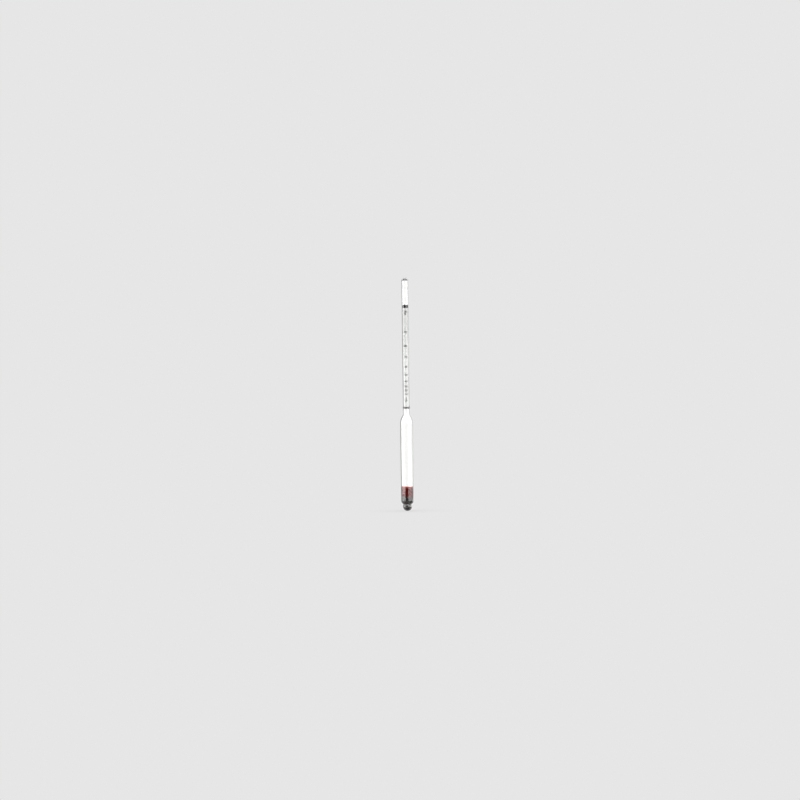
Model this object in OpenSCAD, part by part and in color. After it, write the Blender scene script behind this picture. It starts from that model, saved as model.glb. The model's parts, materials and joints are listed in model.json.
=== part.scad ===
// Spirit hydrometer: a sealed glass float with a slim stem, a rolled paper scale in the stem,
// a rolled paper in the body, and a ballast of steel shot held down by sealing wax.
// The origin is the lowest point of the ballast bulb, on the axis, and +Z runs up the stem.

/* [Glass] */
// Height from the bottom of the ballast bulb to the tip of the stem
overall_h = 300; // [285:1:315]
// Outer diameter of the float body
body_d = 16.2; // [15.6:0.1:17]
// Outer diameter of the stem
stem_d = 8.7; // [8:0.1:9]
// Outer diameter of the round ballast bulb under the body
bulb_d = 11.7; // [11.2:0.1:12]
// Thickness of the glass wall
wall = 0.6; // [0.5:0.05:0.7]
// Thickness of the glass where the tip of the stem was closed in the flame
tip_wall = 1.0; // [0.8:0.1:1.8]
// How far the flame seal between stem and body stands proud of the stem
seal_bead = 0.3; // [0:0.05:0.5]

/* [Heights] */
// Height at which the rounded bottom of the body turns into its straight side
body_base_z = 13.4; // [13.2:0.1:13.8]
// Height at which the straight side ends and the shoulder starts
shoulder_z = 112.5; // [108:0.5:114]
// Length of the shoulder between body and stem
shoulder_h = 12.5; // [11:0.5:15]
// Height of the flame seal that joins the stem tube to the body tube
seal_z = 132.4; // [131:0.1:136]

/* [Papers] */
// Thickness of a rolled paper, with its overlap
paper_t = 0.15; // [0.1:0.05:0.25]
// Height at which the paper scale starts, inside the shoulder
scale_paper_z = 121; // [120:0.5:124]
// Length of stem above the paper scale
scale_paper_margin = 4.3; // [4.2:0.1:8]
// Where on the shoulder the body paper ends, as a share of the way down from the stem
body_paper_end = 0.2; // [0.2:0.01:0.6]

/* [Ballast] */
// Diameter of one steel pellet
pellet_d = 2.5; // [2.3:0.1:2.7]
// Number of pellets poured in
pellet_count = 112; // [96:1:120]
// Height of the underside of the wax plug, which sinks in among the top pellets
wax_z = 19; // [18:0.1:20]
// Height of the middle of the wax plug's top
wax_top_z = 29.8; // [28:0.1:32]
// How far the wax climbs the glass round its top edge
meniscus = 1.1; // [0.5:0.1:1.5]

/* [Hidden] */
$fn = 96;
arc_steps = 14;
shoulder_steps = 18;

// Clearances between pieces that lie against each other
end_gap = 0.05;
paper_gap = 0.15;
body_paper_gap = 0.3;
wax_gap = 0.02;
shot_gap = 0.03;

body_r = body_d / 2;
stem_r = stem_d / 2;
bulb_r = bulb_d / 2;
body_in = body_r - wall;
stem_in = stem_r - wall;
dome_z = overall_h - stem_r;
dome_in_z = overall_h - tip_wall - stem_in;
bead_h = 2.2;

// The paper scale ends below the height at which it would meet the closed dome
scale_r = stem_in - paper_gap;
dab_r = stem_in - end_gap;
scale_top_z = min(overall_h - scale_paper_margin, dome_in_z + half_chord(dab_r, scale_r));

// The bottom in the plane (r, z): a convex bowl, a concave waist and the round bulb, all tangent
bowl_r = 5;
waist_r = 0.5;
bowl_c = [body_r - bowl_r, body_base_z];
bulb_c = [0, bulb_r];
waist_c = tangent_centre(bulb_c, bulb_r + waist_r, bowl_c, bowl_r + waist_r);

// Control points of the shoulder's outer curve, from the stem down to the body. The two pulls are how
// far it follows the stem and the body before it bends away
stem_pull = 3.7;
body_pull = 7;
shoulder_curve = [[stem_r, shoulder_z + shoulder_h], [stem_r, shoulder_z + shoulder_h - stem_pull],
                  [body_r, shoulder_z + body_pull], [body_r, shoulder_z]];

// Centre of a circle at distance da from a and db from b, on the side away from the axis
function tangent_centre(a, da, b, db) =
    let (d = norm(b - a), u = (b - a) / d, along = (da * da - db * db + d * d) / (2 * d))
    a + u * along + [u.y, -u.x] * sqrt(da * da - along * along);

// Angle of the line from a to b
function bearing(a, b) = atan2(b.y - a.y, b.x - a.x);

// Points on an arc of radius r about c, from angle a0 to angle a1
function arc(c, r, a0, a1) =
    [for (i = [0 : arc_steps]) c + r * [cos(a0 + (a1 - a0) * i / arc_steps),
                                        sin(a0 + (a1 - a0) * i / arc_steps)]];

// The bottom's outline from the axis up to the straight side, moved in by d
function bottom_outline(d) =
    concat(arc(bulb_c, bulb_r - d, -90, bearing(bulb_c, waist_c)),
           arc(waist_c, waist_r + d, bearing(waist_c, bulb_c) + 360, bearing(waist_c, bowl_c)),
           arc(bowl_c, bowl_r - d, bearing(bowl_c, waist_c), 0));

// One point of the shoulder's curve, moved in by d, with t from 0 at the stem to 1 at the body
function shoulder_point(t, d) =
    let (c = shoulder_curve, s = 1 - t,
         p = s * s * s * c[0] + 3 * s * s * t * c[1] + 3 * s * t * t * c[2] + t * t * t * c[3],
         v = s * s * (c[1] - c[0]) + 2 * s * t * (c[2] - c[1]) + t * t * (c[3] - c[2]))
    p + d * [v.y, -v.x] / norm(v);

// The shoulder's outline from parameter t0 to parameter t1, moved in by d
function shoulder_outline(t0, t1, d) =
    [for (i = [0 : shoulder_steps]) shoulder_point(t0 + (t1 - t0) * i / shoulder_steps, d)];

// The flame seal's outline: a low round swelling of the outside, above (up = 1) or below (up = -1)
function bead_outline(up) =
    [for (i = [0 : arc_steps]) let (h = bead_h * i / arc_steps)
        [stem_r + seal_bead * pow(cos(90 * h / bead_h), 2), seal_z + up * h]];

function reverse(list) = [for (i = [len(list) - 1 : -1 : 0]) list[i]];

// Where the centre of a pellet may lie in the empty glass
shot_r = pellet_d / 2;
touch = pellet_d + shot_gap;
reach = shot_r + shot_gap;
pour_r = body_in - reach;
bulb_reach = bulb_r - wall - reach;
waist_reach = waist_r + wall + reach;
bowl_reach = bowl_r - wall - reach;
throat_r = waist_c.x - waist_reach;
spots = 220;
golden_angle = 137.508;

function half_chord(radius, off) = sqrt(max(0, radius * radius - off * off));

// Lowest centre height at distance r from the axis in the bulb, and above the waist
function bulb_floor(r) = bulb_c.y - half_chord(bulb_reach, r);
function bulb_ceiling(r) = min(bulb_c.y + half_chord(bulb_reach, r),
                               waist_c.y - half_chord(waist_reach, r - waist_c.x));
function bowl_floor(r) = max(waist_c.y + half_chord(waist_reach, r - waist_c.x),
                             bowl_c.y - half_chord(bowl_reach, max(0, r - bowl_c.x)));

// Height at which a pellet dropped at p comes to rest on those already there
function support(p, placed) =
    max([0, for (q = placed) let (d2 = pow(p.x - q.x, 2) + pow(p.y - q.y, 2))
        if (d2 < touch * touch) q.z + sqrt(touch * touch - d2)]);

function rest_height(p, placed) =
    let (r = norm(p), s = support(p, placed), low = max(s, bulb_floor(min(r, bulb_reach))))
    r < throat_r || (r < bulb_reach && low < bulb_ceiling(r)) ? low : max(s, bowl_floor(r));

// The places tried for pellet number n, spread evenly over the glass by a golden-angle spiral
function drop_spots(n) =
    [for (k = [0 : spots - 1]) let (r = pour_r * sqrt(k / (spots - 1)), a = golden_angle * (k + n / 9))
        [r * cos(a), r * sin(a)]];

function lowest(list) = let (z = min([for (p = list) p.z])) [for (p = list) if (p.z == z) p][0];

// Pours the pellets one by one, each into the lowest place that is free
function poured(n, placed = []) =
    n == 0 ? placed
    : poured(n - 1, concat(placed,
        [lowest([for (p = drop_spots(n)) [p.x, p.y, rest_height(p, placed)]])]));

// Clear glass: the closed stem, down to the middle of the flame seal
module stem_tube() {
    color("lightcyan", 0.35)
    rotate_extrude()
    polygon(concat(bead_outline(1), arc([0, dome_z], stem_r, 0, 90),
                   reverse(arc([0, dome_in_z], stem_in, 0, 90)), [[stem_in, seal_z]]));
}

// Clear glass: the body with its shoulder above and its ballast bulb below
module float_tube() {
    color("lightcyan", 0.35)
    rotate_extrude()
    polygon(concat(bottom_outline(0), reverse(shoulder_outline(0, 1, 0)),
                   reverse(bead_outline(-1)), [[stem_in, seal_z]],
                   shoulder_outline(0, 1, wall), reverse(bottom_outline(wall))));
}

// White paper rolled into a tube, which carries the printed scale
module scale_paper() {
    color("white")
    translate([0, 0, scale_paper_z])
    difference() {
        cylinder(r = scale_r, h = scale_top_z - scale_paper_z);
        translate([0, 0, -1])
        cylinder(r = scale_r - paper_t, h = overall_h);
    }
}

// Dab of cement under the closed tip, which holds the top edge of the paper scale
module scale_cement() {
    base_z = scale_top_z + end_gap;
    rise = base_z - dome_in_z;
    color("darkolivegreen")
    rotate_extrude()
    polygon(concat([[0, base_z]], rise < 0 ? [[dab_r, base_z]] : [],
                   arc([0, dome_in_z], dab_r, asin(max(0, rise) / dab_r), 90)));
}

// White paper rolled against the body's wall, with its top edge cut to follow the shoulder
module body_paper() {
    outside = wall + body_paper_gap;
    inside = outside + paper_t;
    foot_z = wax_top_z + meniscus + 2 * end_gap;
    color("white")
    rotate_extrude()
    polygon(concat([[body_r - outside, foot_z]], reverse(shoulder_outline(body_paper_end, 1, outside)),
                   shoulder_outline(body_paper_end, 1, inside), [[body_r - inside, foot_z]]));
}

// Red sealing wax poured over the shot: it has set round the top pellets, and climbs the glass a
// little round its top edge
module sealing_wax() {
    r = body_in - wax_gap;
    steepness = 6;
    climb = [for (i = [0 : arc_steps]) let (x = i / arc_steps)
                [r * x, wax_top_z + meniscus * pow(x, steepness)]];
    color("firebrick")
    difference() {
        rotate_extrude()
        polygon(concat([[0, wax_z], [r, wax_z]], reverse(climb)));
        for (p = poured(pellet_count))
            if (p.z + shot_r > wax_z - wax_gap)
                translate(p)
                sphere(r = shot_r + wax_gap);
    }
}

// Bright steel pellets, which sink the bulb and keep the stem upright
module ballast_shot() {
    color("slategray")
    for (p = poured(pellet_count))
        translate(p)
        sphere(d = pellet_d);
}

stem_tube();
float_tube();
scale_paper();
scale_cement();
body_paper();
sealing_wax();
ballast_shot();
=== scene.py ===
"""Looks of the spirit hydrometer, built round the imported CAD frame.

Everything is in metres, in the CAD frame: +Z runs up the stem, the origin is the bottom of the ballast
bulb, and -Y is the side with the alcohol scale. Outlines are lists of (radius, height).
"""

import json
import math
import random

import bmesh
import bpy
from mathutils import Matrix, Vector, noise

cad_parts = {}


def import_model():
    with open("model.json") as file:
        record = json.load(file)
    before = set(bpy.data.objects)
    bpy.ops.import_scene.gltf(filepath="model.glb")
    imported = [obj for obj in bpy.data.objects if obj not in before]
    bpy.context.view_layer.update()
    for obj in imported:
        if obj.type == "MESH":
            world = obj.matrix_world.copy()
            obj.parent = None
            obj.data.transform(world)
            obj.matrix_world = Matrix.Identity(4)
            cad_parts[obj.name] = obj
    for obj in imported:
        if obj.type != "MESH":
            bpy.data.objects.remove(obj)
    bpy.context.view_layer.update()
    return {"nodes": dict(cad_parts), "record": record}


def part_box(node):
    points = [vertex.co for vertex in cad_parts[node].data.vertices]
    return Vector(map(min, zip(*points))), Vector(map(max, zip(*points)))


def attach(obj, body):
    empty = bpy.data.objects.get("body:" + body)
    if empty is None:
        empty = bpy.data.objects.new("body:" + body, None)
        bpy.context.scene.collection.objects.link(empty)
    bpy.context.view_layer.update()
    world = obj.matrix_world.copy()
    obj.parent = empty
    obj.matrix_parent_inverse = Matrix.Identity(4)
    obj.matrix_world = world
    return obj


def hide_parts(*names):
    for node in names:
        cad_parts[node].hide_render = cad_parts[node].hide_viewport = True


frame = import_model()

MM = 0.001
TAU = 2 * math.pi
FRONT = -math.pi / 2
BACK = math.pi / 2


# ---------------------------------------------------------------- sizes, from the frame
def mount(name):
    """A mount of the record: its radius and the heights where its straight wall starts and ends."""
    m = next(m for m in frame["record"]["mounts"] if m["name"] == name)
    half = m["dims"]["length_mm"] * MM / 2
    return m["dims"]["r_mm"] * MM, m["pos_m"][2] - half, m["pos_m"][2] + half


def outside(node):
    """A round node's outer radius, lowest height and highest height."""
    lo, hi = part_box(node)
    return (hi.x - lo.x) / 2, lo.z, hi.z


STEM_R = mount("stem")[0]
BODY_R, BODY_BASE_Z, SHOULDER_Z = mount("body")
TIP_Z = outside("stem_tube")[2]
DOME_Z = TIP_Z - STEM_R
SEAL_Z = outside("stem_tube")[1]
SCALE_R, SCALE_Z0, SCALE_Z1 = outside("scale_paper")
PAPER_R, PAPER_Z0, PAPER_Z1 = outside("body_paper")
WAX_R, WAX_Z0, WAX_Z1 = outside("sealing_wax")
DAB_R, DAB_Z0, DAB_Z1 = outside("scale_cement")

# Sizes that the frame doesn't give, the same as in the CAD
WALL = 0.6 * MM
TIP_WALL = 1 * MM
BULB_R = 5.85 * MM
BOWL_R = 5 * MM
WAIST_R = 0.5 * MM
SHOULDER_H = 12.5 * MM
STEM_PULL = 3.7 * MM
BODY_PULL = 7 * MM
SEAL_H = 2.2 * MM
SEAL_BEAD = 0.3 * MM

# One thickness of paper, where the CAD's wall includes the overlap
PAPER_T = 0.11 * MM
# Points of a mesh nearer than this are one point
WELD = 0.0005 * MM


# ---------------------------------------------------------------- outlines
def arc(c, r, a0, a1, steps):
    """Points on an arc about c, from angle a0 to angle a1 in radians."""
    angles = (a0 + (a1 - a0) * i / steps for i in range(steps + 1))
    return [Vector((c[0] + r * math.cos(a), c[1] + r * math.sin(a))) for a in angles]


def bearing(a, b):
    return math.atan2(b[1] - a[1], b[0] - a[0])


def tangent_centre(a, da, b, db):
    """Centre of a circle at distance da from a and db from b, on the side away from the axis."""
    d = (b - a).length
    u = (b - a) / d
    along = (da * da - db * db + d * d) / (2 * d)
    return a + u * along + Vector((u.y, -u.x)) * math.sqrt(da * da - along * along)


BOWL_C = Vector((BODY_R - BOWL_R, BODY_BASE_Z))
BULB_C = Vector((0, BULB_R))
WAIST_C = tangent_centre(BULB_C, BULB_R + WAIST_R, BOWL_C, BOWL_R + WAIST_R)
SHOULDER_CURVE = [Vector((STEM_R, SHOULDER_Z + SHOULDER_H)),
                  Vector((STEM_R, SHOULDER_Z + SHOULDER_H - STEM_PULL)),
                  Vector((BODY_R, SHOULDER_Z + BODY_PULL)),
                  Vector((BODY_R, SHOULDER_Z))]


def bottom_outline(d):
    """Bulb, waist and bowl, from the axis up to the straight side, moved in by d."""
    return (arc(BULB_C, BULB_R - d, -math.pi / 2, bearing(BULB_C, WAIST_C), 30)
            + arc(WAIST_C, WAIST_R + d, bearing(WAIST_C, BULB_C) + TAU, bearing(WAIST_C, BOWL_C), 14)[1:-1]
            + arc(BOWL_C, BOWL_R - d, bearing(BOWL_C, WAIST_C), 0, 24))


def shoulder_point(t, d):
    """A point of the shoulder, moved in by d, with t from 0 at the stem to 1 at the body."""
    c, s = SHOULDER_CURVE, 1 - t
    p = s**3 * c[0] + 3 * s * s * t * c[1] + 3 * s * t * t * c[2] + t**3 * c[3]
    v = s * s * (c[1] - c[0]) + 2 * s * t * (c[2] - c[1]) + t * t * (c[3] - c[2])
    return p + d * Vector((v.y, -v.x)) / v.length


def shoulder_outline(t0, t1, d, steps=28):
    return [shoulder_point(t0 + (t1 - t0) * i / steps, d) for i in range(steps + 1)]


def straight(r, z0, z1, pitch):
    """Points up a straight side, without its two ends."""
    n = max(1, round((z1 - z0) / pitch))
    return [Vector((r, z0 + (z1 - z0) * i / n)) for i in range(1, n)]


def seal_outline(r, swell, steps=16):
    """The flame seal: a low round swelling of a wall of radius r, from below the seal to above it."""
    shares = [2 * i / steps - 1 for i in range(steps + 1)]
    return [Vector((r + swell * math.cos(math.pi / 2 * k) ** 2, SEAL_Z + SEAL_H * k)) for k in shares]


# ---------------------------------------------------------------- meshes
def face_outwards(bm, hollow=()):
    """Turns each closed surface to face outwards, and the faces of a hollow to face into it.

    It works in millimetres, because Blender guesses wrong on pieces as small as these in metres.
    """
    bmesh.ops.scale(bm, vec=(1 / MM, 1 / MM, 1 / MM), verts=bm.verts)
    bmesh.ops.recalc_face_normals(bm, faces=bm.faces)
    bmesh.ops.reverse_faces(bm, faces=hollow)
    bmesh.ops.scale(bm, vec=(MM, MM, MM), verts=bm.verts)


def new_object(name, bm, material, hollow=()):
    """Turns a bmesh into an object that rides on the root body, smooth but for its sharp edges."""
    face_outwards(bm, hollow)
    mesh = bpy.data.meshes.new(name)
    bm.to_mesh(mesh)
    bm.free()
    mesh.materials.append(material)
    mesh.polygons.foreach_set("use_smooth", [True] * len(mesh.polygons))
    mesh.set_sharp_from_angle(angle=math.radians(40))
    obj = bpy.data.objects.new(name, mesh)
    bpy.context.scene.collection.objects.link(obj)
    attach(obj, "root")
    return obj


def lathe(bm, outline, segments, shape=None):
    """Turns an outline that starts and ends on the axis. shape(angle, point) may move a point."""
    rings = []
    for p in outline:
        if p.x < 1e-7:
            rings.append([bm.verts.new((0, 0, p.y))])
            continue
        ring = []
        for i in range(segments):
            a = TAU * i / segments
            r, z = shape(a, p) if shape else p
            ring.append(bm.verts.new((r * math.cos(a), r * math.sin(a), z)))
        rings.append(ring)
    for low, high in zip(rings, rings[1:]):
        for i in range(segments):
            j = (i + 1) % segments
            if len(low) == 1:
                bm.faces.new((low[0], high[j], high[i]))
            elif len(high) == 1:
                bm.faces.new((low[i], low[j], high[0]))
            else:
                bm.faces.new((low[i], low[j], high[j], high[i]))


def sheet_solid(bm, grid, thickness):
    """Gives a grid of surface points a thickness inwards, towards the axis, and closes its edges."""
    def inner(p):
        r = math.hypot(p.x, p.y)
        return Vector((p.x * (r - thickness) / r, p.y * (r - thickness) / r, p.z))

    out = [[bm.verts.new(p) for p in row] for row in grid]
    back = [[bm.verts.new(inner(p)) for p in row] for row in grid]
    rows, cols = len(grid), len(grid[0])
    for k in range(rows - 1):
        for i in range(cols - 1):
            bm.faces.new((out[k][i], out[k][i + 1], out[k + 1][i + 1], out[k + 1][i]))
            bm.faces.new((back[k][i], back[k + 1][i], back[k + 1][i + 1], back[k][i + 1]))
        bm.faces.new((out[k][0], out[k + 1][0], back[k + 1][0], back[k][0]))
        bm.faces.new((out[k][-1], back[k][-1], back[k + 1][-1], out[k + 1][-1]))
    for i in range(cols - 1):
        bm.faces.new((out[0][i], back[0][i], back[0][i + 1], out[0][i + 1]))
        bm.faces.new((out[-1][i], out[-1][i + 1], back[-1][i + 1], back[-1][i]))


def smoothstep(x):
    x = min(1.0, max(0.0, x))
    return x * x * (3 - 2 * x)


def rolled(bm, outline, thickness, seam, lap, segments):
    """A sheet rolled round the axis along an outline: its start lies under its end at the seam."""
    tuck = thickness * 1.35
    ease = math.radians(35)
    grid = []
    for p in outline:
        row = []
        for i in range(segments + 1):
            turn = (TAU + lap) * i / segments
            under = 1 - smoothstep((turn - lap) / ease)
            r = p.x - tuck * under
            row.append(Vector((r * math.cos(seam + turn), r * math.sin(seam + turn), p.y)))
        grid.append(row)
    sheet_solid(bm, grid, thickness)


# ---------------------------------------------------------------- where the marks are
# Density of water and alcohol mixtures at 20 degrees C, in g/cm3, for each 10% of alcohol by volume
DENSITY = (0.99820, 0.98471, 0.97356, 0.96221, 0.94805, 0.93014, 0.90911, 0.88556, 0.85927, 0.82918,
           0.78924)
ZERO_Z = 144.3 * MM
FLOAT_MASS = frame["record"]["physics"]["mass_kg"]
# How pale the grey ground behind the scale is, and the two marks between which it deepens
GROUND_TONE = (0.82, 0.68)
GROUND_DEEPENS = (65, 95)


def volume_per_kg(percent):
    """Litres that a kilogram of the mixture takes, by a smooth curve through the table."""
    at = min(9, int(percent // 10))
    f = percent / 10 - at
    v = [1 / DENSITY[min(10, max(0, at + k))] for k in (-1, 0, 1, 2)]
    slope0 = (v[2] - v[0]) / (2 if at > 0 else 1)
    slope1 = (v[3] - v[1]) / (2 if at < 9 else 1)
    h = f * f * (3 - 2 * f)
    return v[1] + (v[2] - v[1]) * h + slope0 * f * (1 - f) ** 2 - slope1 * f * f * (1 - f)


def mark_z(percent):
    """Height of a mark: the stem rises out of thin liquid less, because the float displaces its mass."""
    area = math.pi * STEM_R**2
    return ZERO_Z + FLOAT_MASS / area * (volume_per_kg(percent) - volume_per_kg(0)) / 1000


# Below this mark there is room for every second one only
CROWDED = 30
# The top number stands a little above its mark, by this share of a number's height
TOP_NUDGE = 0.25
# Where the bottom band and the top band start and end
BAND_Z = ((SEAL_Z - 1.1 * MM, SEAL_Z + 0.9 * MM), (mark_z(100) + 5.4 * MM, mark_z(100) + 9.5 * MM))


# ---------------------------------------------------------------- materials
class Nodes:
    """A small helper that adds shader nodes and links them."""

    def __init__(self, tree):
        self.tree = tree
        tree.nodes.clear()

    def add(self, kind, inputs=None, **settings):
        node = self.tree.nodes.new(kind)
        for key, value in settings.items():
            setattr(node, key, value)
        for key, value in (inputs or {}).items():
            if isinstance(value, bpy.types.NodeSocket):
                self.tree.links.new(value, node.inputs[key])
            else:
                node.inputs[key].default_value = value
        return node

    def noise(self, size, detail=3.0, roughness=0.55, stretch=(1, 1, 1)):
        """Noise with features of about the given size in metres, from 0 to 1."""
        place = self.add("ShaderNodeTexCoord").outputs["Object"]
        if stretch != (1, 1, 1):
            place = self.add("ShaderNodeMapping", {"Vector": place, "Scale": stretch}).outputs["Vector"]
        node = self.add("ShaderNodeTexNoise", {"Vector": place, "Scale": 1 / size, "Detail": detail,
                                               "Roughness": roughness})
        return node.outputs["Fac"]

    def ramp(self, fac, stops):
        """A colour ramp. stops are (position, colour) pairs."""
        node = self.add("ShaderNodeValToRGB", {"Fac": fac})
        while len(node.color_ramp.elements) < len(stops):
            node.color_ramp.elements.new(0.5)
        for element, (at, colour) in zip(node.color_ramp.elements, stops):
            element.position = at
            element.color = (*colour, 1)
        return node.outputs["Color"]

    def spread(self, fac, low, high):
        """Maps a noise value to the range from low to high."""
        return self.add("ShaderNodeMapRange", {"Value": fac, "From Min": 0.3, "From Max": 0.7,
                                               "To Min": low, "To Max": high}).outputs["Result"]

    def bump(self, height, depth, strength=1.0):
        return self.add("ShaderNodeBump", {"Height": height, "Distance": depth,
                                           "Strength": strength}).outputs["Normal"]

    def principled(self, inputs):
        return self.add("ShaderNodeBsdfPrincipled", inputs).outputs["BSDF"]

    def surface(self, shader):
        self.add("ShaderNodeOutputMaterial", {"Surface": shader})


def material(name):
    m = bpy.data.materials.new(name)
    m.use_nodes = True
    return m, Nodes(m.node_tree)


def glass_material():
    """Clear glass with the faint waviness of drawn tube. What is inside sees the studio through it."""
    m, n = material("clear_glass")
    drawn = n.noise(5 * MM, detail=1.0, stretch=(1, 1, 0.12))
    glass = n.principled({"Base Color": (0.985, 0.995, 0.99, 1), "Roughness": 0.01, "IOR": 1.5,
                          "Transmission Weight": 1.0, "Normal": n.bump(drawn, 0.01 * MM, 0.5)})
    clear = n.add("ShaderNodeBsdfTransparent").outputs["BSDF"]
    ray = n.add("ShaderNodeLightPath").outputs
    straight_on = n.add("ShaderNodeMath", {0: ray["Is Shadow Ray"], 1: ray["Is Diffuse Ray"]},
                        operation="MAXIMUM").outputs[0]
    n.surface(n.add("ShaderNodeMixShader", {0: straight_on, 1: glass, 2: clear}).outputs[0])
    return m


def paper_material(name, white, cream, ground=None):
    """Smooth matt paper: faint mottling, and fibres too fine to see as more than a tooth.

    ground is the lowest and highest point of a grey ground printed behind the scale, darker at its top.
    """
    m, n = material(name)
    mottle = n.noise(2.2 * MM, detail=5)
    fibre = n.noise(0.12 * MM, detail=2, stretch=(1, 1, 0.35))
    colour = n.ramp(mottle, [(0.35, cream), (0.65, white)])
    if ground:
        place = n.add("ShaderNodeTexCoord").outputs["Object"]
        height = n.add("ShaderNodeSeparateXYZ", {"Vector": place}).outputs["Z"]
        middle, reach = (ground[0] + ground[1]) / 2, (ground[1] - ground[0]) / 2
        printed = n.add("ShaderNodeMath", {0: height, 1: middle, 2: reach}, operation="COMPARE").outputs[0]
        tint = n.add("ShaderNodeMapRange", {"Value": height, "From Min": mark_z(GROUND_DEEPENS[0]),
                                            "From Max": mark_z(GROUND_DEEPENS[1]),
                                            "To Min": GROUND_TONE[0], "To Max": GROUND_TONE[1]})
        tone = n.add("ShaderNodeMix", {"Factor": printed, "A": 1.0, "B": tint.outputs["Result"]})
        toned = n.add("ShaderNodeVectorMath", {0: colour, "Scale": tone.outputs["Result"]},
                      operation="SCALE")
        colour = toned.outputs["Vector"]
    n.surface(n.principled({"Base Color": colour,
                            "Roughness": n.spread(fibre, 0.68, 0.82),
                            "Specular IOR Level": 0.3,
                            "Normal": n.bump(fibre, 0.012 * MM, 0.6)}))
    return m


def ink_material():
    """Black printing ink, a little thin where it has not covered."""
    m, n = material("black_ink")
    cover = n.noise(0.25 * MM, detail=3)
    n.surface(n.principled({"Base Color": n.ramp(cover, [(0.3, (0.02, 0.019, 0.018)),
                                                         (0.6, (0.005, 0.005, 0.006))]),
                            "Roughness": n.spread(cover, 0.62, 0.5),
                            "Specular IOR Level": 0.15}))
    return m


def wax_material():
    """Dark red sealing wax: cloudy, satin, with light going a little way in. It pales where it thins out."""
    m, n = material("red_wax")
    cloud = n.noise(2.6 * MM, detail=4)
    skin = n.noise(0.8 * MM, detail=0.5)
    place = n.add("ShaderNodeTexCoord").outputs["Object"]
    height = n.add("ShaderNodeSeparateXYZ", {"Vector": place}).outputs["Z"]
    wander = n.add("ShaderNodeMath", {0: n.noise(4 * MM, detail=2), 1: 3 * MM, 2: height},
                   operation="MULTIPLY_ADD").outputs[0]
    edge = n.add("ShaderNodeMapRange", {"Value": wander, "From Min": WAX_Z1 - 0.9 * MM,
                                        "From Max": WAX_Z1 + 1.3 * MM}, interpolation_type="SMOOTHSTEP")
    thin = n.add("ShaderNodeMath", {0: edge.outputs["Result"], 1: 0.7}, operation="MULTIPLY").outputs[0]
    tone = n.add("ShaderNodeMath", {0: cloud, 1: thin}, operation="ADD").outputs[0]
    n.surface(n.principled({"Base Color": n.ramp(tone, [(0.3, (0.024, 0.0015, 0.001)),
                                                        (0.68, (0.058, 0.0025, 0.002)),
                                                        (1.0, (0.25, 0.045, 0.032))]),
                            "Roughness": n.spread(skin, 0.24, 0.36),
                            "Specular IOR Level": 0.8,
                            "Specular Tint": (1.0, 0.15, 0.12, 1),
                            "Subsurface Weight": 0.12,
                            "Subsurface Radius": (1.0, 0.15, 0.1),
                            "Subsurface Scale": 1.2 * MM,
                            "Normal": n.bump(skin, 0.05 * MM, 0.5)}))
    return m


def shot_material():
    """Tumbled steel shot: dull metal with darker oxide in patches."""
    m, n = material("steel_shot")
    patch = n.noise(1.6 * MM, detail=4)
    pit = n.noise(0.2 * MM, detail=3)
    n.surface(n.principled({"Base Color": n.ramp(patch, [(0.32, (0.04, 0.036, 0.035)),
                                                         (0.62, (0.17, 0.157, 0.152))]),
                            "Metallic": 1.0,
                            "Roughness": n.spread(pit, 0.2, 0.38),
                            "Normal": n.bump(pit, 0.02 * MM, 0.5)}))
    return m


def cement_material():
    """Set cement: dark olive, grainy and matt."""
    m, n = material("cement")
    grain = n.noise(0.6 * MM, detail=5)
    n.surface(n.principled({"Base Color": n.ramp(grain, [(0.35, (0.006, 0.0065, 0.0045)),
                                                         (0.7, (0.022, 0.024, 0.017))]),
                            "Roughness": n.spread(grain, 0.5, 0.7),
                            "Specular IOR Level": 0.12,
                            "Normal": n.bump(grain, 0.04 * MM, 0.6)}))
    return m


GLASS = glass_material()
SCALE_STOCK = paper_material("scale_paper", (0.76, 0.76, 0.753), (0.742, 0.738, 0.725),
                             (BAND_Z[0][1], BAND_Z[1][0]))
BODY_STOCK = paper_material("body_paper", (0.76, 0.76, 0.753), (0.742, 0.738, 0.725))
INK = ink_material()
WAX = wax_material()
SHOT = shot_material()
CEMENT = cement_material()


# ---------------------------------------------------------------- glass
# Spacing of the rings up the long straight sides, and up the short one under the seal
LONG_PITCH = 4 * MM
SHORT_PITCH = 1.5 * MM
# How far the seal's inner wall stands in from the stem's inner wall
SEAL_INSIDE = 0.3 * SEAL_BEAD
# How far out of round the soft parts are, and over what height that changes
DRIFT = 0.025 * MM
DRIFT_PITCH = 8 * MM


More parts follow.
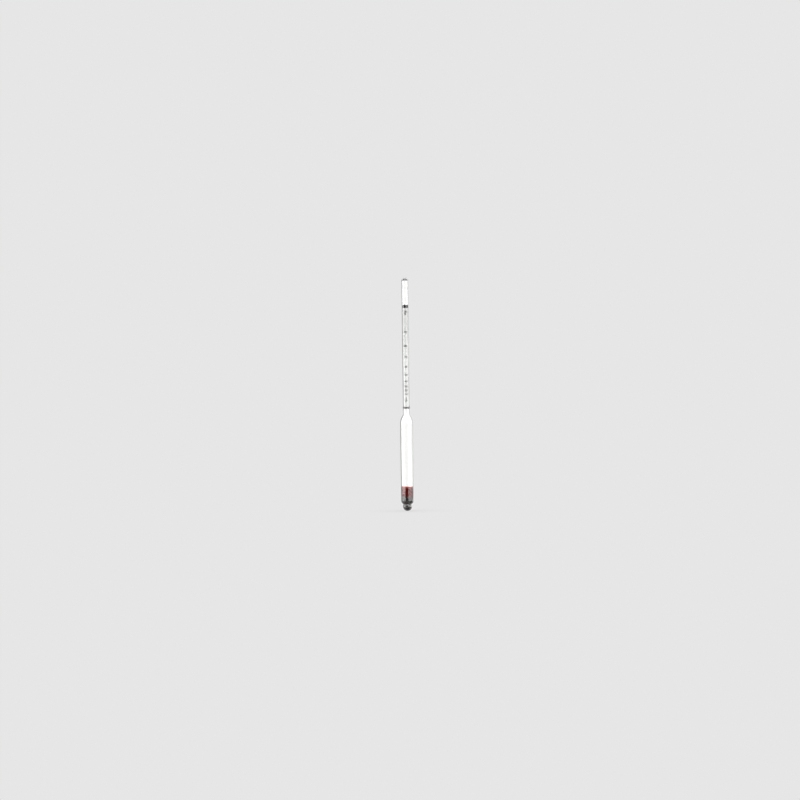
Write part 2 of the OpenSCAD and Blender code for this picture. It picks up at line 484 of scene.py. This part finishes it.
def glass_envelope():
    """The whole sealed glass: outer skin and inner skin, with the seal run smooth by the flame."""
    shoulder_top = SHOULDER_Z + SHOULDER_H
    stem_in = STEM_R - WALL
    dome_in_z = TIP_Z - TIP_WALL - stem_in
    outer = (bottom_outline(0) + straight(BODY_R, BODY_BASE_Z, SHOULDER_Z, LONG_PITCH)
             + shoulder_outline(1, 0, 0) + straight(STEM_R, shoulder_top, SEAL_Z - SEAL_H, SHORT_PITCH)
             + seal_outline(STEM_R, SEAL_BEAD)
             + straight(STEM_R, SEAL_Z + SEAL_H, DOME_Z, LONG_PITCH)
             + arc((0, DOME_Z), STEM_R, 0, math.pi / 2, 24))
    inner = (bottom_outline(WALL) + straight(BODY_R - WALL, BODY_BASE_Z, SHOULDER_Z, LONG_PITCH)
             + shoulder_outline(1, 0, WALL)
             + straight(stem_in, shoulder_top, SEAL_Z - SEAL_H, SHORT_PITCH)
             + seal_outline(stem_in, -SEAL_INSIDE)
             + straight(stem_in, SEAL_Z + SEAL_H, dome_in_z, LONG_PITCH)
             + arc((0, dome_in_z), stem_in, 0, math.pi / 2, 24))
    segments = 160

    def hand_blown(a, p):
        """The flame leaves the shoulder, waist and bulb very slightly out of round."""
        soft = 1 - smoothstep(p.y / BODY_BASE_Z)
        soft += smoothstep((p.y - SHOULDER_Z) / SHOULDER_H) * (1 - smoothstep((p.y - SEAL_Z) / SHOULDER_H))
        at = Vector((math.cos(a), math.sin(a), p.y / DRIFT_PITCH))
        return p.x - DRIFT * soft * (0.5 + 0.5 * noise.noise(at)), p.y

    bm = bmesh.new()
    lathe(bm, outer, segments, hand_blown)
    outer_faces = len(bm.faces)
    lathe(bm, inner, segments, hand_blown)
    bm.faces.ensure_lookup_table()
    obj = new_object("glass_envelope", bm, GLASS, bm.faces[outer_faces:])
    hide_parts("stem_tube", "float_tube")


# ---------------------------------------------------------------- papers
SCALE_SEAM = math.radians(155)
BODY_SEAM = math.radians(128)


def scale_paper_roll():
    """The paper scale, rolled to fit the stem, with its long edges lapped at one side."""
    outline = [Vector((SCALE_R, SCALE_Z0)), *straight(SCALE_R, SCALE_Z0, SCALE_Z1, 6 * MM),
               Vector((SCALE_R, SCALE_Z1))]
    bm = bmesh.new()
    rolled(bm, outline, PAPER_T, SCALE_SEAM, math.radians(40), 132)
    obj = new_object("scale_paper_roll", bm, SCALE_STOCK)
    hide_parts("scale_paper")


# The tongues in the top edge of the body's paper: their number, how far they lie inside the roll, how far
# every second one lies behind its neighbours, how unevenly they were cut, and how far up the shoulder they
# have spread
TONGUES = 11
TONGUE_INSIDE = 0.02 * MM
TONGUE_LAYER = 0.09 * MM
TONGUE_CUT = 0.7 * MM
TONGUE_SPREAD_H = 3 * MM


def body_paper_roll():
    """The body's paper: a lapped roll, with tongues cut in its top edge that follow the shoulder."""
    gap = BODY_R - PAPER_R
    outline = [Vector((PAPER_R, PAPER_Z0)), *straight(PAPER_R, PAPER_Z0, SHOULDER_Z, 6 * MM),
               Vector((PAPER_R, SHOULDER_Z))]
    bm = bmesh.new()
    rolled(bm, outline, PAPER_T, BODY_SEAM, math.radians(26), 180)
    end = next(t / 400 for t in range(400) if shoulder_point(t / 400, gap).y <= PAPER_Z1)
    path = [shoulder_point(1 - (1 - end) * k / 24, gap) for k in range(25)]
    half = TAU / TONGUES / 2
    for i in range(TONGUES):
        layer = TONGUE_LAYER if i % 2 else 0
        cut = random.Random(i).uniform(0, TONGUE_CUT)
        grid = []
        for p in path:
            rise = smoothstep((p.y - SHOULDER_Z) / TONGUE_SPREAD_H)
            # Neighbours stand a hair apart at their roots, and lap over each other above
            spread = half * (0.998 + 0.06 * rise)
            r = p.x - (layer + TONGUE_INSIDE) * rise - PAPER_T * 0.2
            mid = BODY_SEAM + TAU * i / TONGUES
            row = []
            for k in range(17):
                a = mid + spread * (k / 8 - 1)
                tip = cut * smoothstep((p.y - SHOULDER_Z) / (PAPER_Z1 - SHOULDER_Z))
                row.append(Vector((r * math.cos(a), r * math.sin(a), p.y - tip)))
            grid.append(row)
        sheet_solid(bm, grid, PAPER_T)
    obj = new_object("body_paper_roll", bm, BODY_STOCK)
    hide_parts("body_paper")


# ---------------------------------------------------------------- printing
INK_T = 0.008 * MM
INK_LIFT = 0.004 * MM
# A mark's line, the line of a ten, and the upright rule that runs along the inner ends of the marks
LINE = 0.15 * MM
TENS_LINE = 1.3 * LINE
RULE = 0.6 * LINE
# Heights of the numbers, of the unit's sign and of the temperature
NUMBER_H = 2.7 * MM
SIGN_H = 0.85 * NUMBER_H
DEGREES_H = 0.75 * NUMBER_H
# How far the temperature stands below the mark of zero, in heights of a number
DEGREES_DROP = 1.1
# Share of its width that a number of one, two or three digits is squeezed to
SQUEEZE = (0.85, 0.85, 0.74)
# The type: the height of its capitals in its size, how much bolder it is made, and how far apart it stands
CAPITALS = 0.72
BOLDER = 0.058
SPACING = 1.16


def flat_bar(bm, x0, x1, z0, z1):
    """A printed bar on the unrolled paper: x along the paper, z up the stem, y the ink's depth."""
    bmesh.ops.create_cube(bm, size=1, matrix=Matrix.LocRotScale(
        Vector(((x0 + x1) / 2, INK_T / 2, (z0 + z1) / 2)), None, Vector((x1 - x0, INK_T, z1 - z0))))


def flat_number(bm, text, height, z, squeeze):
    """A printed number or sign centred at height z on the unrolled paper. squeeze is its share of width."""
    curve = bpy.data.curves.new("digits", "FONT")
    curve.body = text
    curve.align_x = "CENTER"
    curve.size = height / CAPITALS
    curve.resolution_u = 3
    curve.extrude = INK_T / 2
    curve.offset = BOLDER * height
    curve.space_character = SPACING
    carrier = bpy.data.objects.new("digits", curve)
    bpy.context.scene.collection.objects.link(carrier)
    graph = bpy.context.evaluated_depsgraph_get()
    mesh = bpy.data.meshes.new_from_object(carrier.evaluated_get(graph))
    mesh.transform(Matrix(((squeeze, 0, 0, 0), (0, 0, 1, INK_T / 2), (0, 1, 0, z - height / 2),
                           (0, 0, 0, 1))))
    bm.from_mesh(mesh)
    bpy.data.objects.remove(carrier)
    bpy.data.curves.remove(curve)
    bpy.data.meshes.remove(mesh)


def wrap(bm, azimuth):
    """Bends flat printing round the paper scale, after cutting it into strips narrow enough to curve."""
    step = 0.35 * MM
    bmesh.ops.remove_doubles(bm, verts=bm.verts, dist=WELD)
    reach = max(abs(v.co.x) for v in bm.verts)
    for k in range(-int(reach / step), int(reach / step) + 1):
        geom = bm.verts[:] + bm.edges[:] + bm.faces[:]
        bmesh.ops.bisect_plane(bm, geom=geom, dist=1e-8, plane_co=(k * step, 0, 0), plane_no=(1, 0, 0))
    for v in bm.verts:
        a = azimuth + v.co.x / SCALE_R
        r = SCALE_R + INK_LIFT + v.co.y
        v.co = (r * math.cos(a), r * math.sin(a), v.co.z)
    bmesh.ops.dissolve_degenerate(bm, dist=WELD, edges=bm.edges)


def printed_scale(name, azimuth, top, sign, drop, side_marks):
    """One scale: marks on both sides of a column of numbers. top is its value at pure alcohol.

    Its unit's sign stands under the top number, lower than its mark by drop times a number's height, and
    the temperature it is read at under the zero.
    """
    marks, digits = bmesh.new(), bmesh.new()
    for i in [*range(0, CROWDED, 2), *range(CROWDED, 101)]:
        z = mark_z(i)
        kind = 2 if i % 10 == 0 else 1 if i % 5 == 0 else 0
        inner_end, outer_end = side_marks[kind]
        half = (TENS_LINE if kind == 2 else LINE) / 2
        for side in (-1, 1):
            flat_bar(marks, *sorted((side * inner_end, side * outer_end)), z - half, z + half)
        if kind == 2:
            nudge = TOP_NUDGE * NUMBER_H if i == 100 else 0
            number = str(round(top * i / 100))
            flat_number(digits, number, NUMBER_H, z + nudge, SQUEEZE[len(number) - 1])
    flat_number(digits, sign, SIGN_H, mark_z(100) - drop * NUMBER_H, 1.0)
    flat_number(digits, "20°", DEGREES_H, mark_z(0) - DEGREES_DROP * NUMBER_H, 0.9)
    for side in (-1, 1):
        x = side * side_marks[0][0]
        flat_bar(marks, x - RULE / 2, x + RULE / 2, mark_z(0) - LINE / 2, mark_z(100) + LINE / 2)
    for bm, part in ((marks, "marks"), (digits, "numbers")):
        wrap(bm, azimuth)
        new_object(f"{name}_{part}", bm, INK)


def printed_band(name, z0, z1):
    """A solid band printed all round the paper scale."""
    bm = bmesh.new()
    flat_bar(bm, -math.pi * SCALE_R, math.pi * SCALE_R, z0, z1)
    ends = [f for f in bm.faces if abs(f.calc_center_median().x) > SCALE_R]
    bmesh.ops.delete(bm, geom=ends, context="FACES_ONLY")
    wrap(bm, FRONT)
    bmesh.ops.remove_doubles(bm, verts=bm.verts, dist=WELD)
    new_object(name, bm, INK)


# ---------------------------------------------------------------- ballast
def shot_places():
    """Centre and radius of each CAD pellet, from the loose parts of its node."""
    bm = bmesh.new()
    bm.from_mesh(frame["nodes"]["ballast_shot"].data)
    bmesh.ops.remove_doubles(bm, verts=bm.verts, dist=0.001 * MM)
    seen, places = set(), []
    for start in bm.verts:
        if start in seen:
            continue
        todo, part = [start], []
        seen.add(start)
        while todo:
            v = todo.pop()
            part.append(v.co)
            for e in v.link_edges:
                other = e.other_vert(v)
                if other not in seen:
                    seen.add(other)
                    todo.append(other)
        lo = Vector([min(c[k] for c in part) for k in range(3)])
        hi = Vector([max(c[k] for c in part) for k in range(3)])
        places.append(((lo + hi) / 2, (hi - lo).length / math.sqrt(12)))
    bm.free()
    return places


PELLETS = shot_places()


# Cosine of the angle from a worn flat's middle at which its wear starts, how fast the wear deepens inside
# that angle, and how far the whole pellet is out of round, the last two as shares of its radius
WORN_FROM = 0.93
WEAR = 0.35
UNEVEN = 0.012


def shot_pellets():
    """The pellets: almost round, each with its own dents from tumbling."""
    bm = bmesh.new()
    for i, (centre, radius) in enumerate(PELLETS):
        draw = random.Random(100 + i)
        shift = Vector([draw.uniform(-50, 50) for _ in range(3)])
        flats = [Vector([draw.gauss(0, 1) for _ in range(3)]).normalized() for _ in range(3)]
        new = bmesh.ops.create_icosphere(bm, subdivisions=3, radius=1)["verts"]
        for v in new:
            n = v.co.normalized()
            worn = max(0.0, max(n.dot(f) for f in flats) - WORN_FROM)
            size = radius * (1 - WEAR * worn - UNEVEN * (0.5 + 0.5 * noise.noise(n * 1.7 + shift)))
            v.co = centre + n * size
    obj = new_object("shot_pellets", bm, SHOT)
    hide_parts("ballast_shot")


# How far the wax climbs the glass, how far its surface dips and how deep the pellets press into its wall
MENISCUS = 1.1 * MM
DISH = 0.9 * MM
PRESS = 0.5 * MM
# How far the lower edge runs down past the CAD's, and how much it wanders in long and in short waves
RUN_DOWN = 0.9 * MM
LONG_WAVE = 1.6 * MM
SHORT_WAVE = 0.8 * MM
# The crept film: its gap from the paper, how far up it has crept and how much its edge wanders
FILM_GAP = 0.05 * MM
FILM_CREEP = 0.6 * MM
FILM_WAVE = 0.7 * MM


def wax_plug():
    """The wax: it wets the glass, runs down unevenly between the pellets and climbs at its top edge.

    A thin film of it has crept a little way up between the body paper and the glass.
    """
    fill_z = WAX_Z1 - MENISCUS
    film_r = PAPER_R + FILM_GAP
    segments = 220
    near = [(math.atan2(c.y, c.x), c.z, r) for c, r in PELLETS
            if c.z > WAX_Z0 - 5 * MM and math.hypot(c.x, c.y) > WAX_R - 1.2 * r]

    def wall(a, p):
        """Points of the wall: the lower edge wanders, and each pellet against the glass shows through."""
        at = Vector((math.cos(a) * 1.6, math.sin(a) * 1.6, 0.3))
        low = WAX_Z0 - RUN_DOWN + LONG_WAVE * noise.noise(at) + SHORT_WAVE * noise.noise(at * 3.1)
        share = (p.y - WAX_Z0) / (fill_z - WAX_Z0)
        z = low + (fill_z - low) * share if p.y < fill_z else p.y
        if p.y == WAX_Z1:
            z += FILM_CREEP + FILM_WAVE * noise.noise(at * 1.3 + Vector((0, 0, 5)))
        r = p.x
        if r > 0.97 * WAX_R:
            for angle, height, radius in near:
                turn = (a - angle + math.pi) % TAU - math.pi
                off = math.hypot(turn * WAX_R, z - height) / (0.9 * radius)
                r -= PRESS * smoothstep(1.4 - off)
        return r, z

    film = [Vector((WAX_R, WAX_Z1)), Vector((film_r, WAX_Z1))]
    rise = [Vector((film_r * x, fill_z + DISH * x**6)) for x in (i / 16 for i in range(16, -1, -1))]
    floor = [Vector((WAX_R * i / 8, WAX_Z0)) for i in range(8)]
    side = [Vector((WAX_R, WAX_Z0 + (fill_z - WAX_Z0) * i / 44)) for i in range(45)]
    bm = bmesh.new()
    lathe(bm, floor + side + film + rise, segments, wall)
    obj = new_object("wax_plug", bm, WAX)
    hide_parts("sealing_wax")


def cement_dab():
    """The dab of cement that fills the dome above the paper, with an uneven lower face."""
    dome_in_z = TIP_Z - TIP_WALL - (STEM_R - WALL)
    dome_r = DAB_Z1 - dome_in_z
    lowest = math.asin((DAB_Z0 - dome_in_z) / dome_r)
    outline = ([Vector((DAB_R * i / 8, DAB_Z0)) for i in range(8)]
               + arc((0, dome_in_z), dome_r, lowest, math.pi / 2, 16))
    lump = 1.3 * MM
    lump_rise = 0.25 * MM
    faded_above = 1.2 * MM

    def uneven(a, p):
        at = Vector((p.x * math.cos(a), p.x * math.sin(a), p.y)) / lump
        lower = 1 - smoothstep((p.y - DAB_Z0) / faded_above)
        return p.x, p.y + lump_rise * lower * (0.4 + 0.6 * noise.noise(at))

    bm = bmesh.new()
    lathe(bm, outline, 72, uneven)
    obj = new_object("cement_dab", bm, CEMENT)
    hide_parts("scale_cement")


glass_envelope()
scale_paper_roll()
body_paper_roll()
printed_scale("percent_scale", FRONT, 100, "%", 0.8,
              ((2.9 * MM, 4.4 * MM), (2.6 * MM, 4.8 * MM), (2.1 * MM, 5.0 * MM)))
printed_scale("proof_scale", BACK, 200, "°", 1.1,
              ((3.1 * MM, 4.1 * MM), (2.9 * MM, 4.6 * MM), (2.75 * MM, 5.0 * MM)))
printed_band("bottom_band", *BAND_Z[0])
printed_band("top_band", *BAND_Z[1])
shot_pellets()
wax_plug()
cement_dab()


# ---------------------------------------------------------------- stage, light and camera
# How bright the backdrop is to the camera
BACKDROP = 0.791
# Width of the view at the object, the lens and its sensor, and where the camera stands
FRAME_WIDTH = 1.0279
LENS = 100.0
SENSOR = 36.0
CAMERA_X = -8.1 * MM
CAMERA_Z = 142.5 * MM
CAMERA_ROLL = math.radians(-0.7)


def floor():
    """A floor that only the camera sees: the backdrop's own colour, with a painted contact shadow under the
    bulb.
    """
    m, n = material("stage_floor")
    # Painted contact shadow: ambient occlusion near the object darkens the floor's glow, down to 0.62 of the
    # backdrop.
    painted_contact_shadow = n.add("ShaderNodeAmbientOcclusion", {"Distance": 60 * MM}, samples=16).outputs["AO"]
    shade = n.add("ShaderNodeMapRange", {"Value": painted_contact_shadow, "To Min": 0.62 * BACKDROP,
                                         "To Max": BACKDROP}).outputs["Result"]
    n.surface(n.add("ShaderNodeEmission", {"Color": (1, 1, 1, 1), "Strength": shade}).outputs["Emission"])
    bm = bmesh.new()
    bmesh.ops.create_circle(bm, cap_ends=True, segments=96, radius=4)
    mesh = bpy.data.meshes.new("stage_floor")
    bm.to_mesh(mesh)
    bm.free()
    mesh.materials.append(m)
    obj = bpy.data.objects.new("stage_floor", mesh)
    obj.location.z = -0.1 * MM
    obj.visible_diffuse = False
    obj.visible_glossy = False
    obj.visible_transmission = False
    obj.visible_shadow = False
    bpy.context.scene.collection.objects.link(obj)


# Brightness round the horizon: angle from the camera's side in degrees, positive to the right
STUDIO = ((-180, 0.75), (-176, 0.22), (-138, 0.22), (-112, 1.0), (-95, 2.5), (-66, 3.3), (-44, 2.7),
          (-34, 0.06), (12, 0.06), (24, 2.0), (60, 2.4), (80, 1.9), (100, 0.9), (140, 0.65), (180, 0.79))
BRIGHTEST = 3.3
# Brightness overhead, on the camera's side and behind the object
OVERHEAD_FRONT = 3.35
OVERHEAD_BACK = 1.0


def world():
    """A light tent: a broad panel on each side, a dark gap where the camera stands, a pale backdrop."""
    w = bpy.data.worlds.new("studio")
    w.use_nodes = True
    bpy.context.scene.world = w
    n = Nodes(w.node_tree)
    way = n.add("ShaderNodeTexCoord").outputs["Generated"]
    axes = n.add("ShaderNodeSeparateXYZ", {"Vector": way}).outputs
    toward = n.add("ShaderNodeMath", {0: axes["Y"], 1: -1.0}, operation="MULTIPLY").outputs[0]
    angle = n.add("ShaderNodeMath", {0: axes["X"], 1: toward}, operation="ARCTAN2").outputs[0]
    turn = n.add("ShaderNodeMapRange", {"Value": angle, "From Min": -math.pi,
                                        "From Max": math.pi}).outputs["Result"]
    stops = [((a + 180) / 360, (v / BRIGHTEST,) * 3) for a, v in STUDIO]
    ring = n.add("ShaderNodeMath", {0: n.ramp(turn, stops), 1: BRIGHTEST}, operation="MULTIPLY").outputs[0]
    over = n.add("ShaderNodeMapRange", {"Value": axes["Y"], "From Min": -0.6, "From Max": 0.4,
                                        "To Min": OVERHEAD_FRONT, "To Max": OVERHEAD_BACK},
                 interpolation_type="SMOOTHSTEP").outputs["Result"]
    high = n.add("ShaderNodeMapRange", {"Value": axes["Z"], "From Min": 0.25, "From Max": 0.5},
                 interpolation_type="SMOOTHSTEP").outputs["Result"]
    low = n.add("ShaderNodeMapRange", {"Value": axes["Z"], "From Min": -0.08, "From Max": -0.4},
                interpolation_type="SMOOTHSTEP").outputs["Result"]
    capped = n.add("ShaderNodeMix", {"Factor": high, "A": ring, "B": over}).outputs["Result"]
    tent = n.add("ShaderNodeMix", {"Factor": low, "A": capped, "B": 0.08}).outputs["Result"]
    camera = n.add("ShaderNodeLightPath").outputs["Is Camera Ray"]
    strength = n.add("ShaderNodeMix", {"Factor": camera, "A": tent, "B": BACKDROP}).outputs["Result"]
    light = n.add("ShaderNodeBackground", {"Color": (1, 1, 1, 1), "Strength": strength}).outputs[0]
    n.add("ShaderNodeOutputWorld", {"Surface": light})


def camera():
    """A long lens, level with the middle of the object, which stands a little right of centre."""
    cam = bpy.data.cameras.new("camera")
    cam.lens = LENS
    cam.sensor_width = SENSOR
    obj = bpy.data.objects.new("camera", cam)
    obj.location = (CAMERA_X, -FRAME_WIDTH * LENS / SENSOR, CAMERA_Z)
    level = Matrix.Rotation(math.pi / 2, 3, "X")
    obj.rotation_euler = (level @ Matrix.Rotation(CAMERA_ROLL, 3, "Z")).to_euler()
    bpy.context.scene.collection.objects.link(obj)
    bpy.context.scene.camera = obj


floor()
world()
camera()
bpy.context.scene.view_settings.view_transform = "Standard"
